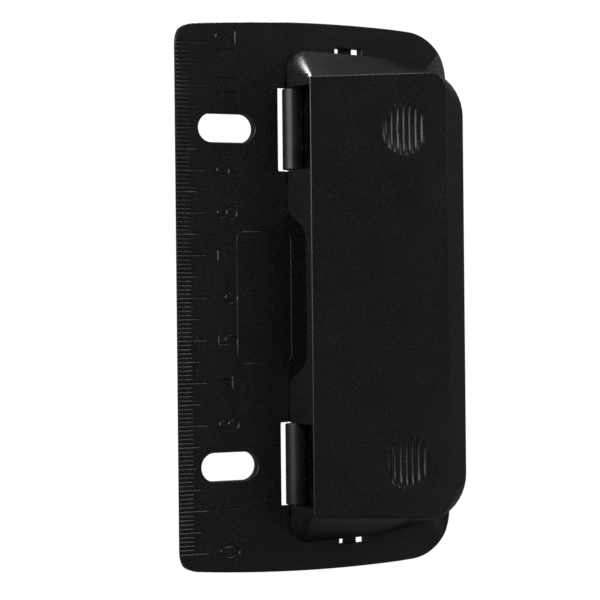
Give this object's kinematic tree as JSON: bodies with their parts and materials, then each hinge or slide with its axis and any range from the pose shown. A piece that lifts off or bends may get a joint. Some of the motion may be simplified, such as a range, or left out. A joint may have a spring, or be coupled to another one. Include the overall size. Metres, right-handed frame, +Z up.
{
  "type": "hole punch",
  "caption": "Flat pocket hole punch with a ruler edge, filing slots, a hinged press lever and coupled spring-loaded punches.",
  "frame": {"origin": "middle of the base plate's underside, on the surface that the punch lies on", "axes": "+X from the ruler edge to the paper throat, +Y along the ruler and the hinge towards its 12 cm end, +Z up out of the plate"},
  "size_m": [0.0734, 0.1316, 0.0149],
  "materials": {
    "plate_plastic": "moulded black plastic with a fine matt grain",
    "lever_plastic": "moulded black plastic, satin",
    "blackened_steel": "smooth black coated steel, semi-gloss",
    "plated_steel": "zinc-plated steel",
    "tool_steel": "ground steel",
    "spring_steel": "drawn spring steel",
    "rivet_steel": "pressed rivet steel"
  },
  "bodies": {
    "base": {"base_plate": "plate_plastic", "far_die_plate": "blackened_steel", "far_punch_guide": "plated_steel", "far_rear_rivet_a": "rivet_steel", "far_rear_rivet_b": "rivet_steel", "far_front_rivet": "rivet_steel", "far_return_spring": "spring_steel", "near_die_plate": "blackened_steel", "near_punch_guide": "plated_steel", "near_rear_rivet_a": "rivet_steel", "near_rear_rivet_b": "rivet_steel", "near_front_rivet": "rivet_steel", "near_return_spring": "spring_steel"},
    "lever": {"press_lever": "lever_plastic", "far_hinge_pin": "plated_steel", "near_hinge_pin": "plated_steel"},
    "far_punch_body": {"far_punch": "tool_steel", "far_spring_clip": "spring_steel"},
    "near_punch_body": {"near_punch": "tool_steel", "near_spring_clip": "spring_steel"}
  },
  "joints": [
    {"name": "lever_hinge", "type": "hinge", "parent": "base", "child": "lever", "pos_m": [-0.0064, 0, 0.00295], "axis": [0, 1, 0], "range_deg": [0, 9], "stiffness_Nm_per_rad": 0.6, "springref_deg": -14.32},
    {"name": "far_punch_slide", "type": "slide", "parent": "base", "child": "far_punch_body", "axis": [0, 0, -1], "range_m": [0, 0.00381], "deforming": ["far_return_spring"]},
    {"name": "near_punch_slide", "type": "slide", "parent": "base", "child": "near_punch_body", "axis": [0, 0, -1], "range_m": [0, 0.00381], "deforming": ["near_return_spring"]}
  ],
  "couplings": [
    {"joint": "far_punch_slide", "follows": "lever_hinge", "m_per_rad": 0.0242},
    {"joint": "near_punch_slide", "follows": "lever_hinge", "m_per_rad": 0.0242}
  ]
}
